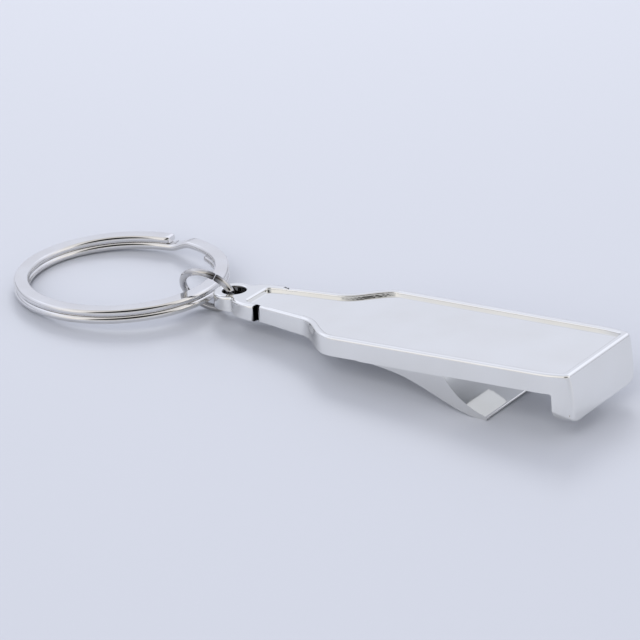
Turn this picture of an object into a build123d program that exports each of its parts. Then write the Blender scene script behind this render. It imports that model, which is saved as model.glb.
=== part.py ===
from build123d import *

import os
from math import asin, cos, degrees, radians, sin

# A keychain bottle opener: a die-cast bottle-shaped body with a cap claw and a lip,
# a small jump ring through its eye, and a flat two-coil split ring for the keys.
# Millimetres, +Z up. The three pieces lie on the table plane z = 0.
# The body is drawn in its own frame first: u along it from the eye to the base,
# v across it, n up, with n = 0 on the top of the rim.

# Body, plan
EYE_R = 1.6
LUG_R = 2.9
CAP_START = 1.9
CAP_END = 5.8
CAP_HALF = 4.05
CAP_HALF_START = 3.3
NECK_START = 6.6
NECK_END = 14.0
NECK_HALF_START = 3.75
NECK_HALF_END = 4.9
SHOULDER_MID = (17.5, 6.95)
SHOULDER_END = 22.0
BODY_HALF = 9.15
TURN_START = 52.4
BASE_HALF_START = 8.75
TURN_END = 58.5
TURN_HALF_END = 7.55
BASE_U = 57.5
BASE_CORNER_R = 0.7
CAP_CORNER_R = 0.6
NOTCH_DEPTH = 0.75

# Body, side profile, as depths below the rim
PLATE_T = 2.7
LUG_T = 1.9
NECK_THIN_START = 20.0
BASE_TOP_U = 57.0
BASE_BULGE_DEPTH = 3.5
LIP_DEPTH = 6.7
LIP_INNER_U = 54.75
LIP_CORNER_R = 0.6
LIP_SIDE_R = 2.6
LIP_ROOT_R = 0.35
CLAW_ROOT_U = 25.5
CLAW_MID = (35.4, 5.1)
CLAW_BELLY = (39.9, 7.2)
CLAW_TIP_U = 44.7
CLAW_DEPTH = 8.2
CLAW_TIP_T = 0.55
CLAW_THROAT_U = 38.7
CLAW_THROAT_MID = (40.85, 5.6)
CLAW_SIDE_INSET = 0.7

# Rim and recess
RIM = 1.0
RECESS_DEPTH = 0.5
RECESS_START = 2.75
RECESS_END = BASE_TOP_U - RIM
RECESS_CORNER_R = 0.6
TOP_EDGE_R = 0.4
RECESS_EDGE_R = 0.3
LIP_EDGE_R = 0.25

# How the body lies: nose down, on the edge of its claw
PITCH = 5.1

# Split ring
RING_OD = 30.0
RING_BAND = 2.2
COIL_T = 0.98
COIL_GAP = 0.04
RING_EDGE_R = 0.22
CUT_END = 96.0
JOGGLE_START = 80.0
LOWER_END = 66.0
RING_LIFT = 1.9
RING_GAP = 0.6

# Jump ring
WIRE_R = 0.5
JUMP_R = 3.7
JUMP_YAW = 8.2
JUMP_LEAN = -28.0
JUMP_FROM_EYE = (-3.6, -1.16)
BUTT_GAP = 3.0
BUTT_AT = 62.0

# The origin: under the middle of the whole object's length and width
BODY_Y = 0.7
EYE_X = -12.078

PLAN_T = 12.0
WIDE = 12.0


def half_outline():
    """Half of the bottle outline in plan, from the middle of the lug round to the middle of the base."""
    lug = JernArc((-LUG_R, 0), (0, 1), LUG_R, -118)
    cap_in = Line(lug @ 1, (CAP_START, CAP_HALF_START))
    cap = ThreePointArc(cap_in @ 1, (3.4, 3.85), (CAP_END, CAP_HALF))
    step = Line(cap @ 1, (NECK_START, NECK_HALF_START))
    neck = Line(step @ 1, (NECK_END, NECK_HALF_END))
    side = Line((SHOULDER_END, BODY_HALF), (TURN_START, BASE_HALF_START))
    shoulder = Spline(neck @ 1, SHOULDER_MID, side @ 0, tangents=[neck % 1, side % 0])
    turn = TangentArc(side @ 1, (TURN_END, TURN_HALF_END), tangent=side % 1)
    base = Line(turn @ 1, (TURN_END, 0))
    return [lug, cap_in, cap, step, neck, shoulder, side, turn, base]


def plan_face():
    """The whole outline, mirrored about the long axis."""
    half = Curve() + half_outline()
    face = make_face(half + mirror(half, Plane.XZ))
    cap_corners = [v for v in face.vertices() if 0.5 < v.X < NECK_START + 0.1 and abs(v.Y) > 1]
    return fillet(cap_corners, CAP_CORNER_R)


def recess_face():
    """The floor of the recess: the bottle outline moved in by the width of the rim."""
    shoulder, side, turn = half_outline()[5:8]

    def inward(edge, share):
        forward = edge % share
        return edge @ share + RIM * Vector(forward.Y, -forward.X, 0)

    start = RECESS_START + RIM
    left = Line((start, 0), (start, CAP_HALF_START - RIM + 0.3))
    cap = Line(left @ 1, (CAP_END, CAP_HALF - RIM))
    neck = Line(cap @ 1, inward(shoulder, 0))
    inner_shoulder = Spline(
        *[inward(shoulder, i / 4) for i in range(5)],
        tangents=[shoulder % 0, shoulder % 1],
    )
    inner_side = Line(inner_shoulder @ 1, inward(side, 1))
    inner_turn = TangentArc(inner_side @ 1, inward(turn, 1), tangent=side % 1)
    last = Line(inner_turn @ 1, ((inner_turn @ 1).X, 0))
    half = Curve() + [left, cap, neck, inner_shoulder, inner_side, inner_turn, last]
    inner = make_face(half + mirror(half, Plane.XZ)) & Pos(RECESS_END - WIDE * 3, 0) * Rectangle(WIDE * 6, WIDE * 2)
    ends = [v for v in inner.vertices() if v.X < start + 0.1 or v.X > RECESS_END - 0.1]
    return fillet(ends, RECESS_CORNER_R)


def profile_face():
    """Side view of the body, with the claw and the lip under the plate."""
    top = Line((-LUG_R - 1, 0), (BASE_TOP_U, 0))
    end = ThreePointArc(top @ 1, (BASE_U, -BASE_BULGE_DEPTH), (BASE_U - 0.15, -LIP_DEPTH))
    lip_bottom = Line(end @ 1, (LIP_INNER_U, -LIP_DEPTH))
    lip_inner = Line(lip_bottom @ 1, (LIP_INNER_U, -PLATE_T))
    mouth = Line(lip_inner @ 1, (CLAW_THROAT_U, -PLATE_T))
    throat = ThreePointArc(
        mouth @ 1,
        (CLAW_THROAT_MID[0], -CLAW_THROAT_MID[1]),
        (CLAW_TIP_U - 0.25, -(CLAW_DEPTH - CLAW_TIP_T)),
    )
    tip = ThreePointArc(
        throat @ 1,
        (CLAW_TIP_U, -(CLAW_DEPTH - CLAW_TIP_T / 2)),
        (CLAW_TIP_U - 0.25, -CLAW_DEPTH),
    )
    claw = Spline(
        tip @ 1,
        (CLAW_BELLY[0], -CLAW_BELLY[1]),
        (CLAW_MID[0], -CLAW_MID[1]),
        (CLAW_ROOT_U, -PLATE_T),
        tangents=[(-1, 0), (-1, 0.12)],
    )
    under = Line(claw @ 1, (NECK_THIN_START, -PLATE_T))
    neck = Line(under @ 1, (-LUG_R - 1, -LUG_T))
    nose = Line(neck @ 1, top @ 0)
    face = make_face(Curve() + [top, end, lip_bottom, lip_inner, mouth, throat, tip, claw, under, neck, nose])
    lip_corner = [v for v in face.vertices() if abs(v.X - LIP_INNER_U) < 0.01 and v.Y < -PLATE_T - 1]
    face = fillet(lip_corner, LIP_CORNER_R)
    lip_root = [v for v in face.vertices() if abs(v.X - LIP_INNER_U) < 0.01 and abs(v.Y + PLATE_T) < 0.01]
    return fillet(lip_root, LIP_ROOT_R)


def claw_trim():
    """What is taken off one side of the claw, so that it narrows toward its edge."""
    wedge = Polyline(
        (BODY_HALF + 0.6, -PLATE_T - 0.1),
        (BASE_HALF_START - 0.02, -PLATE_T - 0.1),
        (BASE_HALF_START - CLAW_SIDE_INSET, -CLAW_DEPTH - 1),
        (BODY_HALF + 0.6, -CLAW_DEPTH - 1),
        close=True,
    )
    length = CLAW_TIP_U + 1 - CLAW_ROOT_U
    return Pos(CLAW_ROOT_U, 0, 0) * extrude(Plane.YZ * make_face(wedge), length)


def lip_trim():
    """What is taken off one lower corner of the lip."""
    centre_y = BASE_HALF_START - LIP_SIDE_R
    centre_z = -LIP_DEPTH + LIP_SIDE_R
    corner = Pos(centre_y + LIP_SIDE_R, centre_z - LIP_SIDE_R) * Rectangle(2 * LIP_SIDE_R, 2 * LIP_SIDE_R)
    corner -= Pos(centre_y, centre_z) * Circle(LIP_SIDE_R)
    return Pos(LIP_INNER_U - 0.6, 0, 0) * extrude(Plane.YZ * corner, BASE_U + 1 - LIP_INNER_U)


def notch_cutter():
    """A narrow groove down one side where the cap meets the neck."""
    depth_v = CAP_HALF - NOTCH_DEPTH
    groove = Polyline(
        (CAP_END - 0.05, CAP_HALF + 0.6),
        (NECK_START + 0.05, CAP_HALF + 0.6),
        (NECK_START - 0.25, depth_v),
        (CAP_END + 0.3, depth_v),
        close=True,
    )
    return Pos(0, 0, -PLATE_T - 1) * extrude(make_face(groove), PLATE_T + 2)


def opener_body_local():
    """The one-piece casting in its own frame."""
    plan = Pos(0, 0, -PLAN_T) * extrude(plan_face(), PLAN_T + 1)
    side = extrude(Plane.XZ * profile_face(), WIDE, both=True)
    body = plan & side
    base_edges = [e for e in body.edges() if e.center().X > BASE_TOP_U - 0.5 and e.bounding_box().size.Z > 5]
    body = fillet(base_edges, BASE_CORNER_R)
    rim_edges = [e for e in body.edges() if e.bounding_box().min.Z > -0.001]
    body = fillet(rim_edges, TOP_EDGE_R)
    for trim in (claw_trim(), lip_trim()):
        body -= trim
        body -= mirror(trim, Plane.XZ)
    for groove in (notch_cutter(), mirror(notch_cutter(), Plane.XZ)):
        body -= groove
    body -= Pos(0, 0, -PLAN_T) * Cylinder(EYE_R, 2 * PLAN_T)
    body -= Pos(0, 0, -RECESS_DEPTH) * extrude(recess_face(), RECESS_DEPTH + 1)
    rim_top = [f for f in body.faces() if abs(f.center().Z) < 0.001 and f.normal_at().Z > 0.9][0]
    body = body.fillet(RECESS_EDGE_R, [e for wire in rim_top.inner_wires() for e in wire.edges()])
    lip_edges = [e for e in body.edges() if e.center().X > 55.2 and e.center().Z < -5.4]
    return body.fillet(LIP_EDGE_R, lip_edges)


def opener_body():
    """The body tilted nose down, with the edge of its claw on the table."""
    tilted = Rot(0, -PITCH, 0) * opener_body_local()
    return Pos(EYE_X, BODY_Y, -tilted.bounding_box().min.Z) * tilted


def coil(z_low, start, end):
    """One turn of flat wire between two angles, counted in degrees round +Z."""
    section = RectangleRounded(RING_BAND, COIL_T, RING_EDGE_R)
    middle = RING_OD / 2 - RING_BAND / 2
    upright = Plane(origin=(middle, 0, z_low + COIL_T / 2), x_dir=(1, 0, 0), z_dir=(0, -1, 0))
    return Rot(0, 0, start) * revolve(upright * section, Axis.Z, end - start)


def split_ring_local():
    """Two coils of flat wire, with the joggle that steps from the upper to the lower."""
    pitch_z = COIL_T + COIL_GAP
    upper = coil(pitch_z, CUT_END, 360 + JOGGLE_START)
    lower = coil(0, CUT_END, 360 + LOWER_END)
    middle = RING_OD / 2 - RING_BAND / 2
    section = RectangleRounded(RING_BAND, COIL_T, RING_EDGE_R)

    def cut(angle, z_low):
        a = radians(angle)
        out = (cos(a), sin(a), 0)
        along = (-sin(a), cos(a), 0)
        return Plane(origin=(middle * cos(a), middle * sin(a), z_low + COIL_T / 2), x_dir=out, z_dir=along)

    steps = 4
    sections = []
    for i in range(steps + 1):
        share = i / steps
        eased = share * share * (3 - 2 * share)
        angle = JOGGLE_START + share * (CUT_END - JOGGLE_START)
        sections.append(cut(angle, pitch_z * (1 - eased)) * section)
    joggle = loft(sections)
    return upper + joggle + lower


def split_ring():
    """The ring with its linked side lifted and its far side on the table."""
    tilt = degrees(asin(RING_LIFT / RING_OD))
    centre_x = EYE_X - LUG_R - RING_GAP - RING_OD / 2
    tilted = Rot(0, -tilt, 0) * split_ring_local()
    return Pos(centre_x, 0, -tilted.bounding_box().min.Z) * tilted


def jump_ring_plane():
    """Plane of the jump ring, leaning as it rests in the eye."""
    yaw = radians(JUMP_YAW)
    lean = radians(JUMP_LEAN)
    along = Vector(cos(yaw), sin(yaw), 0)
    across = Vector(-sin(yaw), cos(yaw), 0)
    up = Vector(0, 0, cos(lean)) + across * sin(lean)
    height = JUMP_R * cos(lean) + WIRE_R
    centre = Vector(EYE_X + JUMP_FROM_EYE[0], BODY_Y + JUMP_FROM_EYE[1], height)
    return Plane(origin=centre, x_dir=along, z_dir=along.cross(up))


def jump_ring():
    """Round wire bent to a ring, with the hairline where its ends butt."""
    wire = Plane(origin=(JUMP_R, 0, 0), x_dir=(1, 0, 0), z_dir=(0, 1, 0)) * Circle(WIRE_R)
    ring = revolve(wire, Axis.Z, 360 - BUTT_GAP)
    return jump_ring_plane() * Rot(0, 0, BUTT_AT) * ring


if __name__ == "__main__":
    os.makedirs("parts", exist_ok=True)
    pieces = {
        "opener_body": opener_body(),
        "jump_ring": jump_ring(),
        "split_ring": split_ring(),
    }
    for name, shape in pieces.items():
        export_step(shape, f"parts/{name}.step")
        box = shape.bounding_box()
        print(name, "low", tuple(round(c, 3) for c in box.min), "high", tuple(round(c, 3) for c in box.max))
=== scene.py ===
"""Looks of the keychain bottle opener: polished casting, jump ring, split ring and a pale studio."""

import math

import bmesh
import bpy
import numpy as np
from mathutils import Matrix, Vector


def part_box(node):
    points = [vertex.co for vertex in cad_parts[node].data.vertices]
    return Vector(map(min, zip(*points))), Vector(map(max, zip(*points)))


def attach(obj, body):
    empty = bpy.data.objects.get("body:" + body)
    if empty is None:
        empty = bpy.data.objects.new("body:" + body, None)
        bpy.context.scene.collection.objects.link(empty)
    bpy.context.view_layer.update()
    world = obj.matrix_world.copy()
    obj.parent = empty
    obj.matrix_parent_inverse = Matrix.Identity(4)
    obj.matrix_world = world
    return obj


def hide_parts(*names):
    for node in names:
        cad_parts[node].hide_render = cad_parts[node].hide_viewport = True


bl_info = {
    "name": "Keychain Bottle Opener",
    "version": (1, 0, 0),
    "blender": (4, 5, 0),
    "location": "3D View > Sidebar > Opener",
    "description": "Builds a polished keychain bottle opener with its rings and a pale studio",
    "category": "Add Mesh",
}

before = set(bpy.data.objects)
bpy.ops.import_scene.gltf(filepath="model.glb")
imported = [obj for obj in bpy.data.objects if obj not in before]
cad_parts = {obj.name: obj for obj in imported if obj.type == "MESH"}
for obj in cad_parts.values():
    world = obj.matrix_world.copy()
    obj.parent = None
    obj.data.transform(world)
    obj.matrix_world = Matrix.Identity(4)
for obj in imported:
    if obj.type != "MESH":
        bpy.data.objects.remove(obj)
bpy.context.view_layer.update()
BODY_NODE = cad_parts["opener_body"]
EYE = (-0.01208, 0.0007)
DARK_GAP_TURN = math.radians(11)


# ---------------------------------------------------------------- settings


class CastingSettings(bpy.types.PropertyGroup):
    """Look of the plated casting and of the painted shade in its grooves and eye."""

    plate_color: bpy.props.FloatVectorProperty(
        name="Plating colour",
        description="Colour of the bright plating",
        default=(0.86, 0.86, 0.845),
        size=3,
        min=0.0,
        max=1.0,
        subtype="COLOR",
    )
    polish: bpy.props.FloatProperty(
        name="Roughness",
        description="Roughness of the polished faces",
        default=0.045,
        min=0.0,
        max=1.0,
        subtype="FACTOR",
    )
    groove_start: bpy.props.FloatProperty(
        name="Groove start",
        description="Distance from the eye to the near side of the two grooves",
        default=0.0058,
        unit="LENGTH",
    )
    groove_end: bpy.props.FloatProperty(
        name="Groove end",
        description="Distance from the eye to the far side of the two grooves",
        default=0.0067,
        unit="LENGTH",
    )
    groove_floor: bpy.props.FloatProperty(
        name="Groove floor",
        description="Distance of the groove floors from the long axis",
        default=0.0033,
        unit="LENGTH",
    )
    eye_radius: bpy.props.FloatProperty(
        name="Eye radius", description="Radius of the hole for the jump ring", default=0.0016, unit="LENGTH"
    )


class SplitRingSettings(bpy.types.PropertyGroup):
    """Sizes of the flat two-coil ring."""

    outer: bpy.props.FloatProperty(
        name="Outside diameter",
        description="Diameter over the ring",
        default=0.03,
        unit="LENGTH",
    )
    band: bpy.props.FloatProperty(
        name="Band width", description="Width of the flat wire", default=0.0022, unit="LENGTH"
    )
    thick: bpy.props.FloatProperty(
        name="Wire thickness",
        description="Thickness of one coil of flat wire",
        default=0.00098,
        unit="LENGTH",
    )
    gap: bpy.props.FloatProperty(
        name="Coil gap",
        description="Space between the two coils",
        default=0.00004,
        unit="LENGTH",
    )
    side_radius: bpy.props.FloatProperty(
        name="Side radius",
        description="Radius of the middle of the rolled side",
        default=0.00045,
        unit="LENGTH",
    )
    slope_radius: bpy.props.FloatProperty(
        name="Slope radius",
        description="Radius of the gentle slope between side and corner",
        default=0.0009,
        unit="LENGTH",
    )
    slopes: bpy.props.FloatVectorProperty(
        name="Slopes",
        description="Slope of the side where the gentle part starts and ends",
        default=(math.radians(24), math.radians(46)),
        size=2,
        subtype="NONE",
    )
    lift: bpy.props.FloatProperty(
        name="Lift",
        description="How far the linked side stands above the far side",
        default=0.0019,
        unit="LENGTH",
    )
    cut_angle: bpy.props.FloatProperty(
        name="Cut angle",
        description="Direction of the upper coil's end",
        default=math.radians(96),
        subtype="ANGLE",
    )
    joggle_angle: bpy.props.FloatProperty(
        name="Joggle angle",
        description="Direction where the wire starts to step down",
        default=math.radians(80),
        subtype="ANGLE",
    )
    lower_angle: bpy.props.FloatProperty(
        name="Lower end angle",
        description="Direction of the lower coil's end",
        default=math.radians(66),
        subtype="ANGLE",
    )


class JumpRingSettings(bpy.types.PropertyGroup):
    """Sizes and lean of the round-wire ring."""

    radius: bpy.props.FloatProperty(
        name="Ring radius",
        description="Radius of the wire's centre line",
        default=0.0037,
        unit="LENGTH",
    )
    wire: bpy.props.FloatProperty(
        name="Wire radius", description="Radius of the round wire", default=0.0005, unit="LENGTH"
    )
    yaw: bpy.props.FloatProperty(
        name="Yaw",
        description="Turn of the ring about the vertical",
        default=math.radians(8.2),
        subtype="ANGLE",
    )
    lean: bpy.props.FloatProperty(
        name="Lean",
        description="Lean of the ring from upright",
        default=math.radians(-28),
        subtype="ANGLE",
    )
    seam_angle: bpy.props.FloatProperty(
        name="Seam angle",
        description="Place of the butted ends round the ring",
        default=math.radians(60.5),
        subtype="ANGLE",
    )


class StudioSettings(bpy.types.PropertyGroup):
    """Floor, light and camera."""

    floor_color: bpy.props.FloatVectorProperty(
        name="Floor colour",
        description="Colour of the plain floor",
        default=(0.505, 0.525, 0.58),
        size=3,
        min=0.0,
        max=1.0,
        subtype="COLOR",
    )
    lens: bpy.props.FloatProperty(
        name="Lens", description="Focal length in millimetres", default=202.9, subtype="DISTANCE_CAMERA"
    )
    heading: bpy.props.FloatProperty(
        name="Heading",
        description="Direction the camera looks, counted from +X",
        default=math.radians(123.83),
        subtype="ANGLE",
    )
    tilt: bpy.props.FloatProperty(
        name="Tilt",
        description="How far the camera looks down",
        default=math.radians(24.37),
        subtype="ANGLE",
    )
    camera_place: bpy.props.FloatVectorProperty(
        name="Camera place",
        description="Where the camera stands",
        default=(0.24691, -0.36484, 0.2026),
        size=3,
        subtype="TRANSLATION",
    )
    fill_power: bpy.props.FloatProperty(
        name="Fill power", description="Power of the light that opens the shadows", default=44.0, unit="POWER"
    )
    key_power: bpy.props.FloatProperty(
        name="Key power", description="Power of the main light", default=1.0, unit="POWER"
    )


# ---------------------------------------------------------------- node helpers


def link(tree, source, target):
    tree.links.new(source, target)


def add_node(tree, kind, place, **values):
    node = tree.nodes.new(kind)
    node.location = place
    for key, value in values.items():
        setattr(node, key, value)
    return node


def new_group(name, inputs, outputs):
    """An empty shader group with named sockets: (name, socket type, default)."""
    group = bpy.data.node_groups.new(name, "ShaderNodeTree")
    for label, kind, default in inputs:
        socket = group.interface.new_socket(name=label, in_out="INPUT", socket_type=kind)
        if default is not None:
            socket.default_value = default
    for label, kind in outputs:
        group.interface.new_socket(name=label, in_out="OUTPUT", socket_type=kind)
    entry = add_node(group, "NodeGroupInput", (-900, 0))
    leave = add_node(group, "NodeGroupOutput", (900, 0))
    return group, entry, leave


def polish_marks_group():
    """Fine wandering lines that a buffing wheel leaves, as a height and a mask."""
    found = bpy.data.node_groups.get("polish_marks")
    if found:
        return found
    group, entry, leave = new_group(
        "polish_marks",
        [
            ("Vector", "NodeSocketVector", None),
            ("Lines Per Metre", "NodeSocketFloat", 2600.0),
            ("Stretch", "NodeSocketFloat", 0.06),
            ("Wander", "NodeSocketFloat", 0.0004),
        ],
        [("Height", "NodeSocketFloat"), ("Mask", "NodeSocketFloat")],
    )
    warp = add_node(group, "ShaderNodeTexNoise", (-700, -260))
    warp.inputs["Scale"].default_value = 180
    warp.inputs["Detail"].default_value = 2
    link(group, entry.outputs["Vector"], warp.inputs["Vector"])
    centred = add_node(group, "ShaderNodeVectorMath", (-520, -260), operation="SUBTRACT")
    centred.inputs[1].default_value = (0.5, 0.5, 0.5)
    link(group, warp.outputs["Color"], centred.inputs[0])
    sway = add_node(group, "ShaderNodeVectorMath", (-360, -260), operation="SCALE")
    link(group, centred.outputs[0], sway.inputs[0])
    link(group, entry.outputs["Wander"], sway.inputs["Scale"])
    bent = add_node(group, "ShaderNodeVectorMath", (-200, -60), operation="ADD")
    link(group, entry.outputs["Vector"], bent.inputs[0])
    link(group, sway.outputs[0], bent.inputs[1])
    squeeze = add_node(group, "ShaderNodeCombineXYZ", (-360, -440))
    squeeze.inputs["Y"].default_value = 1.0
    squeeze.inputs["Z"].default_value = 1.0
    link(group, entry.outputs["Stretch"], squeeze.inputs["X"])
    drawn = add_node(group, "ShaderNodeVectorMath", (-20, -60), operation="MULTIPLY")
    link(group, bent.outputs[0], drawn.inputs[0])
    link(group, squeeze.outputs[0], drawn.inputs[1])
    lines = add_node(group, "ShaderNodeTexNoise", (160, -60))
    lines.inputs["Detail"].default_value = 3
    lines.inputs["Roughness"].default_value = 0.55
    link(group, drawn.outputs[0], lines.inputs["Vector"])
    link(group, entry.outputs["Lines Per Metre"], lines.inputs["Scale"])
    pick = add_node(group, "ShaderNodeMapRange", (420, -160))
    pick.inputs["From Min"].default_value = 0.56
    pick.inputs["From Max"].default_value = 0.72
    link(group, lines.outputs["Fac"], pick.inputs["Value"])
    link(group, lines.outputs["Fac"], leave.inputs["Height"])
    link(group, pick.outputs["Result"], leave.inputs["Mask"])
    return group


def cast_waves_group():
    """The slow unevenness of a polished casting or wire, as a height, with a soft tone mask."""
    found = bpy.data.node_groups.get("cast_waves")
    if found:
        return found
    group, entry, leave = new_group(
        "cast_waves",
        [
            ("Vector", "NodeSocketVector", None),
            ("Waves Per Metre", "NodeSocketFloat", 220.0),
            ("Pits Per Metre", "NodeSocketFloat", 1500.0),
            ("Pit Depth", "NodeSocketFloat", 0.12),
        ],
        [("Height", "NodeSocketFloat"), ("Tone", "NodeSocketFloat")],
    )
    slow = add_node(group, "ShaderNodeTexNoise", (-500, 120))
    slow.inputs["Detail"].default_value = 1.5
    link(group, entry.outputs["Vector"], slow.inputs["Vector"])
    link(group, entry.outputs["Waves Per Metre"], slow.inputs["Scale"])
    pits = add_node(group, "ShaderNodeTexVoronoi", (-500, -160))
    link(group, entry.outputs["Vector"], pits.inputs["Vector"])
    link(group, entry.outputs["Pits Per Metre"], pits.inputs["Scale"])
    dents = add_node(group, "ShaderNodeMapRange", (-280, -160))
    dents.inputs["From Max"].default_value = 0.16
    link(group, pits.outputs["Distance"], dents.inputs["Value"])
    sunk = add_node(group, "ShaderNodeMath", (-80, -160), operation="MULTIPLY")
    link(group, dents.outputs["Result"], sunk.inputs[0])
    link(group, entry.outputs["Pit Depth"], sunk.inputs[1])
    total = add_node(group, "ShaderNodeMath", (140, 60), operation="ADD")
    link(group, slow.outputs["Fac"], total.inputs[0])
    link(group, sunk.outputs[0], total.inputs[1])
    tone = add_node(group, "ShaderNodeMapRange", (140, 260))
    tone.inputs["From Min"].default_value = 0.3
    tone.inputs["From Max"].default_value = 0.7
    link(group, slow.outputs["Fac"], tone.inputs["Value"])
    link(group, total.outputs[0], leave.inputs["Height"])
    link(group, tone.outputs["Result"], leave.inputs["Tone"])
    return group


def plated_material(name, color, roughness, finish):
    """Bright plating, mixed towards near black where a mesh paints shade. finish holds the scale and strength
    of the marks on this piece.
    """
    material = bpy.data.materials.new(name)
    material.use_nodes = True
    tree = material.node_tree
    shader = tree.nodes["Principled BSDF"]
    shader.inputs["Metallic"].default_value = 1.0
    shader.inputs["IOR"].default_value = 2.2
    shader.inputs["Specular Tint"].default_value = (1.0, 1.0, 1.0, 1.0)
    spot = add_node(tree, "ShaderNodeTexCoord", (-1300, 0))
    marks = add_node(tree, "ShaderNodeGroup", (-1000, -160), node_tree=polish_marks_group())
    marks.inputs["Lines Per Metre"].default_value = finish["lines"]
    marks.inputs["Stretch"].default_value = finish["stretch"]
    waves = add_node(tree, "ShaderNodeGroup", (-1000, 200), node_tree=cast_waves_group())
    waves.inputs["Waves Per Metre"].default_value = finish["waves"]
    waves.inputs["Pits Per Metre"].default_value = finish["pits"]
    waves.inputs["Pit Depth"].default_value = finish["pit_depth"]
    for group in (marks, waves):
        link(tree, spot.outputs["Object"], group.inputs["Vector"])
    tint = add_node(tree, "ShaderNodeMix", (-620, 300), data_type="RGBA")
    tint.inputs["A"].default_value = (*color, 1.0)
    tint.inputs["B"].default_value = (*[channel * shade for channel, shade in zip(color, finish["shade"])], 1.0)
    link(tree, waves.outputs["Tone"], tint.inputs["Factor"])
    # Painted shade: the plating colour is mixed towards near black by the mesh's shade mask, in the casting's
    # grooves and eye and at the jump ring's butted ends.
    shade_mask = add_node(tree, "ShaderNodeAttribute", (-900, 560), attribute_name="painted_shade")
    shaded = add_node(tree, "ShaderNodeMix", (-360, 380), data_type="RGBA")
    shaded.inputs["B"].default_value = (0.012, 0.012, 0.014, 1.0)
    link(tree, shade_mask.outputs["Fac"], shaded.inputs["Factor"])
    link(tree, tint.outputs["Result"], shaded.inputs["A"])
    link(tree, shaded.outputs["Result"], shader.inputs["Base Color"])
    gloss = add_node(tree, "ShaderNodeMapRange", (-620, 60))
    gloss.inputs["To Min"].default_value = roughness
    gloss.inputs["To Max"].default_value = roughness + finish["dull"]
    link(tree, marks.outputs["Mask"], gloss.inputs["Value"])
    link(tree, gloss.outputs["Result"], shader.inputs["Roughness"])
    slow = add_node(tree, "ShaderNodeBump", (-620, -120))
    slow.inputs["Strength"].default_value = 1.0
    slow.inputs["Distance"].default_value = finish["wave_height"]
    link(tree, waves.outputs["Height"], slow.inputs["Height"])
    fine = add_node(tree, "ShaderNodeBump", (-400, -220))
    fine.inputs["Strength"].default_value = 1.0
    fine.inputs["Distance"].default_value = finish["line_height"]
    link(tree, marks.outputs["Height"], fine.inputs["Height"])
    link(tree, slow.outputs["Normal"], fine.inputs["Normal"])
    link(tree, fine.outputs["Normal"], shader.inputs["Normal"])
    return material


# ---------------------------------------------------------------- mesh helpers


def new_piece(name, mesh):
    piece = bpy.data.objects.new(name, mesh)
    bpy.context.scene.collection.objects.link(piece)
    return piece


def worn_section(width, height, side_radius, slope_radius, slopes, per_arc=6):
    """Flat wire with rolled sides, as (across, up) points, counter-clockwise.

    From the middle of the side up, the wire turns with side_radius to the first slope, gently with
    slope_radius to the second, and with a small corner on to the flat top.
    """
    first, second = slopes
    risen = side_radius * math.sin(first) + slope_radius * (math.sin(second) - math.sin(first))
    corner = (height / 2 - risen) / (1 - math.sin(second))
    x, y, before = width / 2, 0.0, 0.0
    quarter = [(x, y)]
    for radius, last in ((side_radius, first), (slope_radius, second), (corner, math.pi / 2)):
        for angle in np.linspace(before, last, per_arc)[1:]:
            x += radius * (math.cos(angle) - math.cos(before))
            y += radius * (math.sin(angle) - math.sin(before))
            before = angle
            quarter.append((x, y))
    upper = quarter + [(-x, y) for x, y in reversed(quarter)]
    return upper + [(x, -y) for x, y in reversed(upper[1:-1])]


def sweep(name, rings):
    """A closed-ended skin over a list of equal loops of points."""
    mesh = bpy.data.meshes.new(name)
    count = len(rings[0])
    vertices = [point for ring in rings for point in ring]
    faces = []
    for i in range(len(rings) - 1):
        for j in range(count):
            k = (j + 1) % count
            faces.append((i * count + j, i * count + k, (i + 1) * count + k, (i + 1) * count + j))
    faces.append(tuple(reversed(range(count))))
    last = (len(rings) - 1) * count
    faces.append(tuple(range(last, last + count)))
    mesh.from_pydata([tuple(v) for v in vertices], [], faces)
    mesh.validate()
    work = bmesh.new()
    work.from_mesh(mesh)
    bmesh.ops.recalc_face_normals(work, faces=work.faces)
    for face in work.faces:
        face.smooth = len(face.verts) == 4
    work.to_mesh(mesh)
    work.free()
    return mesh


def paint_groove_shade(mesh, settings):
    """Paints shade into the colour: a near-black painted shade in the two side grooves and, a little lighter,
    inside the eye.
    """
    shade_mask = mesh.attributes.new("painted_shade", "FLOAT", "POINT")
    for vertex, note in zip(mesh.vertices, shade_mask.data):
        along = vertex.co.x - EYE[0]
        across = abs(vertex.co.y - EYE[1])
        in_groove = settings.groove_start < along < settings.groove_end and across > settings.groove_floor
        in_eye = math.hypot(along, across) < settings.eye_radius * 1.06
        note.value = 1.0 if in_groove else 0.8 * in_eye


def rest_on_node(piece, node):
    """Moves a mesh so that its box's middle lies on the CAD node's."""
    low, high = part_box(node)
    points = np.array([v.co for v in piece.data.vertices])
    middle = Vector((points.min(0) + points.max(0)) / 2)
    piece.data.transform(Matrix.Translation((low + high) / 2 - middle))


# ---------------------------------------------------------------- operators


class OPENER_OT_casting(bpy.types.Operator):
    """Finish the polished bottle-shaped casting with its claw and lip"""

    bl_idname = "opener.casting"
    bl_label = "Opener casting"

    def execute(self, context):
        settings = context.scene.opener_casting
        mesh = BODY_NODE.data.copy()
        mesh.name = "opener_casting"
        # Painted shade: the two side grooves and the inside of the eye are darkened in the colour.
        paint_groove_shade(mesh, settings)
        piece = new_piece("opener_casting", mesh)
        finish = {
            "lines": 2400.0,
            "stretch": 0.05,
            "waves": 160.0,
            "pits": 900.0,
            "pit_depth": 0.02,
            "shade": (0.97, 0.965, 0.955),
            "dull": 0.05,
            "wave_height": 0.000018,
            "line_height": 0.0000012,
        }
        metal = plated_material("plated_casting", settings.plate_color, settings.polish, finish)
        mesh.materials.clear()
        mesh.materials.append(metal)
        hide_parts("opener_body")
        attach(piece, "opener")
        return {"FINISHED"}


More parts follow.
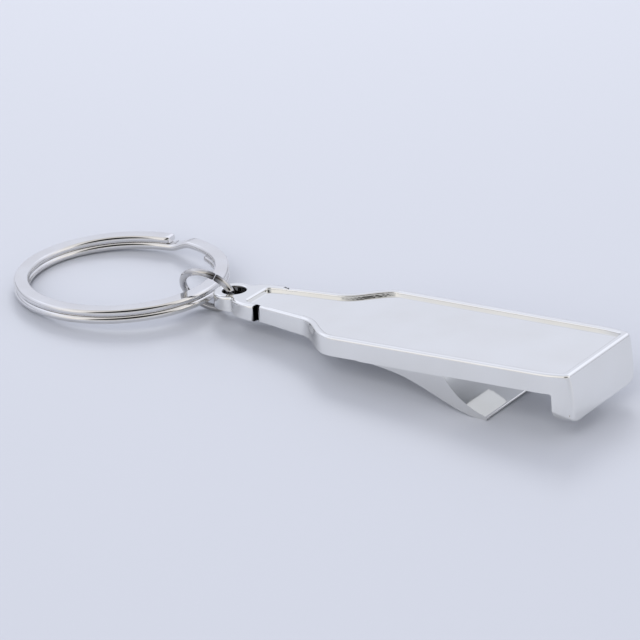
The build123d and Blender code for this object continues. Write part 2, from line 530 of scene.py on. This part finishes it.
class OPENER_OT_split_ring(bpy.types.Operator):
    """Wind the flat split ring, with its joggle and its two ends"""

    bl_idname = "opener.split_ring"
    bl_label = "Split ring"

    def execute(self, context):
        settings = context.scene.opener_split_ring
        middle = (settings.outer - settings.band) / 2
        rise = settings.thick + settings.gap
        turns = np.concatenate(
            [
                np.arange(settings.cut_angle, settings.joggle_angle + math.tau, math.radians(2)),
                np.arange(
                    settings.joggle_angle + math.tau, settings.lower_angle + 2 * math.tau, math.radians(1.5)
                ),
            ]
        )
        step_end = settings.cut_angle + math.tau
        step_start = settings.joggle_angle + math.tau
        rings = []
        for angle in turns:
            share = min(max((angle - step_start) / (step_end - step_start), 0.0), 1.0)
            eased = share * share * (3 - 2 * share)
            height = rise / 2 - rise * eased
            away = min(angle - turns[0], turns[-1] - angle) * middle
            taper = 1.0 - 0.2 * max(0.0, 1 - away / 0.0005) ** 2
            section = worn_section(
                settings.band * taper,
                settings.thick * taper,
                settings.side_radius * taper,
                settings.slope_radius * taper,
                settings.slopes,
            )
            out = Vector((math.cos(angle), math.sin(angle), 0))
            rings.append([out * (middle + x) + Vector((0, 0, height + y)) for x, y in section])
        mesh = sweep("split_ring_coils", rings)
        mesh.transform(Matrix.Rotation(-math.asin(settings.lift / settings.outer), 4, "Y"))
        piece = new_piece("split_ring_coils", mesh)
        rest_on_node(piece, "split_ring")
        finish = {
            "lines": 3000.0,
            "stretch": 0.3,
            "waves": 260.0,
            "pits": 1100.0,
            "pit_depth": 0.05,
            "shade": (0.95, 0.94, 0.93),
            "dull": 0.06,
            "wave_height": 0.00002,
            "line_height": 0.000001,
        }
        mesh.materials.append(plated_material("plated_band", (0.8, 0.795, 0.79), 0.06, finish))
        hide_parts("split_ring")
        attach(piece, "key_ring")
        return {"FINISHED"}


class OPENER_OT_jump_ring(bpy.types.Operator):
    """Bend the round wire of the jump ring and butt its ends"""

    bl_idname = "opener.jump_ring"
    bl_label = "Jump ring"

    def execute(self, context):
        settings = context.scene.opener_jump_ring
        along = Vector((math.cos(settings.yaw), math.sin(settings.yaw), 0))
        across = Vector((-math.sin(settings.yaw), math.cos(settings.yaw), 0))
        up = Vector((0, 0, math.cos(settings.lean))) + across * math.sin(settings.lean)
        side = along.cross(up)
        seam_half = math.radians(0.5)
        start = settings.seam_angle + seam_half
        end = settings.seam_angle + math.tau - seam_half
        rings = []
        shade_mask = []
        # Painted shade: the wire's colour is darkened towards near black on both sides of the butted ends.
        for angle in np.linspace(start, end, 180):
            away = min(angle - start, end - angle) * settings.radius
            shade_mask.append(0.92 * max(0.0, 1 - away / 0.0011) ** 0.5)
            pinch = 1.0 - 0.16 * max(0.0, 1 - away / 0.0003) ** 2
            out = along * math.cos(angle) + up * math.sin(angle)
            ring = []
            reach = settings.wire * pinch
            for turn in np.linspace(0, math.tau, 28, endpoint=False):
                ring.append(out * (settings.radius + reach * math.cos(turn)) + side * (reach * math.sin(turn)))
            rings.append(ring)
        mesh = sweep("jump_ring_wire", rings)
        notes = mesh.attributes.new("painted_shade", "FLOAT", "POINT")
        notes.data.foreach_set("value", [level for level in shade_mask for _ in range(28)])
        piece = new_piece("jump_ring_wire", mesh)
        rest_on_node(piece, "jump_ring")
        finish = {
            "lines": 3200.0,
            "stretch": 0.5,
            "waves": 420.0,
            "pits": 1600.0,
            "pit_depth": 0.06,
            "shade": (0.95, 0.93, 0.9),
            "dull": 0.07,
            "wave_height": 0.00002,
            "line_height": 0.000001,
        }
        mesh.materials.append(plated_material("plated_wire", (0.62, 0.615, 0.61), 0.07, finish))
        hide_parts("jump_ring")
        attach(piece, "jump_link")
        return {"FINISHED"}


def elevation_ramp(tree, label, place, height, stops, tone):
    """One side of the room: brightness by height above the horizon, in one tone."""
    ramp = add_node(tree, "ShaderNodeValToRGB", place, label=label)
    ramp.color_ramp.interpolation = "EASE"
    while len(ramp.color_ramp.elements) < len(stops):
        ramp.color_ramp.elements.new(0.5)
    for element, (position, level) in zip(ramp.color_ramp.elements, stops):
        element.position = position
        element.color = (*[level * channel for channel in tone], 1)
    link(tree, height, ramp.inputs["Fac"])
    return ramp.outputs["Color"]


def blend_rooms(tree, place, toward, edges, first, second):
    """Goes from one room side to another as the direction turns towards the camera."""
    share = add_node(tree, "ShaderNodeMapRange", place, interpolation_type="SMOOTHSTEP")
    share.inputs["From Min"].default_value, share.inputs["From Max"].default_value = edges
    link(tree, toward, share.inputs["Value"])
    mixed = add_node(tree, "ShaderNodeMix", (place[0] + 240, place[1]), data_type="RGBA")
    link(tree, share.outputs["Result"], mixed.inputs["Factor"])
    link(tree, first, mixed.inputs["A"])
    link(tree, second, mixed.inputs["B"])
    return mixed.outputs["Result"]


def studio_world(heading):
    """A cool bright room, warmer in front, with a dark gap where the camera stands."""
    world = bpy.data.worlds.new("studio_room")
    world.use_nodes = True
    bpy.context.scene.world = world
    tree = world.node_tree
    tree.nodes.clear()
    spot = add_node(tree, "ShaderNodeTexCoord", (-1200, 0))
    parts = add_node(tree, "ShaderNodeSeparateXYZ", (-1000, 200))
    link(tree, spot.outputs["Generated"], parts.inputs[0])
    toward = add_node(tree, "ShaderNodeVectorMath", (-1000, -100), operation="DOT_PRODUCT")
    gap_heading = heading + math.pi + DARK_GAP_TURN
    toward.inputs[1].default_value = (math.cos(gap_heading), math.sin(gap_heading), 0)
    link(tree, spot.outputs["Generated"], toward.inputs[0])
    height = parts.outputs["Z"]
    back = elevation_ramp(
        tree,
        "cool_back",
        (-760, 500),
        height,
        ((0.0, 0.25), (0.06, 0.62), (0.22, 0.84), (0.36, 0.88), (0.56, 1.15), (0.8, 0.9), (1.0, 0.7)),
        (0.95, 0.985, 1.12),
    )
    front = elevation_ramp(
        tree,
        "warm_front",
        (-760, 200),
        height,
        ((0.0, 0.5), (0.15, 1.0), (0.4, 1.08), (0.7, 0.9), (1.0, 0.7)),
        (1.03, 1.01, 1.0),
    )
    gap = elevation_ramp(
        tree,
        "dark_gap",
        (-760, -100),
        height,
        ((0.0, 0.4), (0.12, 0.7), (0.37, 0.76), (0.44, 0.02), (0.88, 0.02), (0.96, 0.4), (1.0, 0.7)),
        (1.0, 1.0, 1.02),
    )
    lit = blend_rooms(tree, (-440, 300), toward.outputs["Value"], (-0.3, 0.45), back, front)
    room = blend_rooms(tree, (-440, -60), toward.outputs["Value"], (0.5, 0.64), lit, gap)
    seen = add_node(tree, "ShaderNodeLightPath", (40, 380))
    shown = add_node(tree, "ShaderNodeMix", (240, 120), data_type="RGBA")
    shown.inputs["B"].default_value = (0.78, 0.81, 0.88, 1)
    link(tree, seen.outputs["Is Camera Ray"], shown.inputs["Factor"])
    link(tree, room, shown.inputs["A"])
    glow = add_node(tree, "ShaderNodeBackground", (460, 120))
    glow.inputs["Strength"].default_value = 0.97
    link(tree, shown.outputs["Result"], glow.inputs["Color"])
    leave = add_node(tree, "ShaderNodeOutputWorld", (660, 120))
    link(tree, glow.outputs[0], leave.inputs["Surface"])


def area_light(name, place, aim, size, power, color):
    lamp = bpy.data.lights.new(name, "AREA")
    lamp.shape = "RECTANGLE"
    lamp.size, lamp.size_y = size
    lamp.energy = power
    lamp.color = color
    light = bpy.data.objects.new(name, lamp)
    light.location = place
    light.rotation_euler = (Vector(aim) - Vector(place)).to_track_quat("-Z", "Y").to_euler()
    bpy.context.scene.collection.objects.link(light)
    return light


class OPENER_OT_studio(bpy.types.Operator):
    """Set the pale floor, the soft lights and the camera"""

    bl_idname = "opener.studio"
    bl_label = "Studio"

    def execute(self, context):
        settings = context.scene.opener_studio
        scene = context.scene
        mesh = bpy.data.meshes.new("studio_floor")
        work = bmesh.new()
        bmesh.ops.create_grid(work, x_segments=24, y_segments=24, size=3.0)
        work.to_mesh(mesh)
        work.free()
        floor = new_piece("studio_floor", mesh)
        floor.location.z = -0.00002
        paint = bpy.data.materials.new("floor_paint")
        paint.use_nodes = True
        shader = paint.node_tree.nodes["Principled BSDF"]
        shader.inputs["Base Color"].default_value = (*settings.floor_color, 1)
        shader.inputs["Roughness"].default_value = 0.32
        shader.inputs["Specular IOR Level"].default_value = 0.18
        mesh.materials.append(paint)
        studio_world(settings.heading)
        view = Vector(
            (
                math.cos(settings.heading) * math.cos(settings.tilt),
                math.sin(settings.heading) * math.cos(settings.tilt),
                -math.sin(settings.tilt),
            )
        )
        key = area_light(
            "key_softbox", (-0.2, 0.32, 0.34), (0, 0, 0), (0.2, 0.2), settings.key_power, (1.0, 0.99, 0.97)
        )
        fill = area_light(
            "front_fill", (0.4, -2.0, 1.4), (0, 0, 0), (2.0, 2.0), settings.fill_power, (1.0, 0.99, 0.98)
        )
        for lamp in (key, fill):
            lamp.visible_glossy = False
        lens = bpy.data.cameras.new("camera")
        lens.sensor_width = 36
        lens.lens = settings.lens
        lens.clip_start = 0.01
        lens.clip_end = 20
        camera = bpy.data.objects.new("camera", lens)
        camera.location = settings.camera_place
        camera.rotation_euler = view.to_track_quat("-Z", "Y").to_euler()
        scene.collection.objects.link(camera)
        scene.camera = camera
        scene.view_settings.view_transform = "Standard"
        return {"FINISHED"}


class OPENER_PT_panel(bpy.types.Panel):
    """Sidebar list of the opener's pieces"""

    bl_idname = "OPENER_PT_panel"
    bl_label = "Bottle opener"
    bl_space_type = "VIEW_3D"
    bl_region_type = "UI"
    bl_category = "Opener"

    def draw(self, context):
        for operator, group in PIECES:
            box = self.layout.box()
            box.operator(operator)
            settings = getattr(context.scene, group)
            for prop in settings.bl_rna.properties:
                if prop.identifier not in {"rna_type", "name"}:
                    box.prop(settings, prop.identifier)


PIECES = (
    ("opener.casting", "opener_casting"),
    ("opener.split_ring", "opener_split_ring"),
    ("opener.jump_ring", "opener_jump_ring"),
    ("opener.studio", "opener_studio"),
)
GROUPS = {
    "opener_casting": CastingSettings,
    "opener_split_ring": SplitRingSettings,
    "opener_jump_ring": JumpRingSettings,
    "opener_studio": StudioSettings,
}
CLASSES = (
    *GROUPS.values(),
    OPENER_OT_casting,
    OPENER_OT_split_ring,
    OPENER_OT_jump_ring,
    OPENER_OT_studio,
    OPENER_PT_panel,
)


def register():
    for item in CLASSES:
        bpy.utils.register_class(item)
    for name, group in GROUPS.items():
        setattr(bpy.types.Scene, name, bpy.props.PointerProperty(type=group))


def unregister():
    for name in GROUPS:
        delattr(bpy.types.Scene, name)
    for item in reversed(CLASSES):
        bpy.utils.unregister_class(item)


def main():
    register()
    bpy.ops.opener.studio()
    bpy.ops.opener.casting()
    bpy.ops.opener.split_ring()
    bpy.ops.opener.jump_ring()


if __name__ == "__main__":
    main()
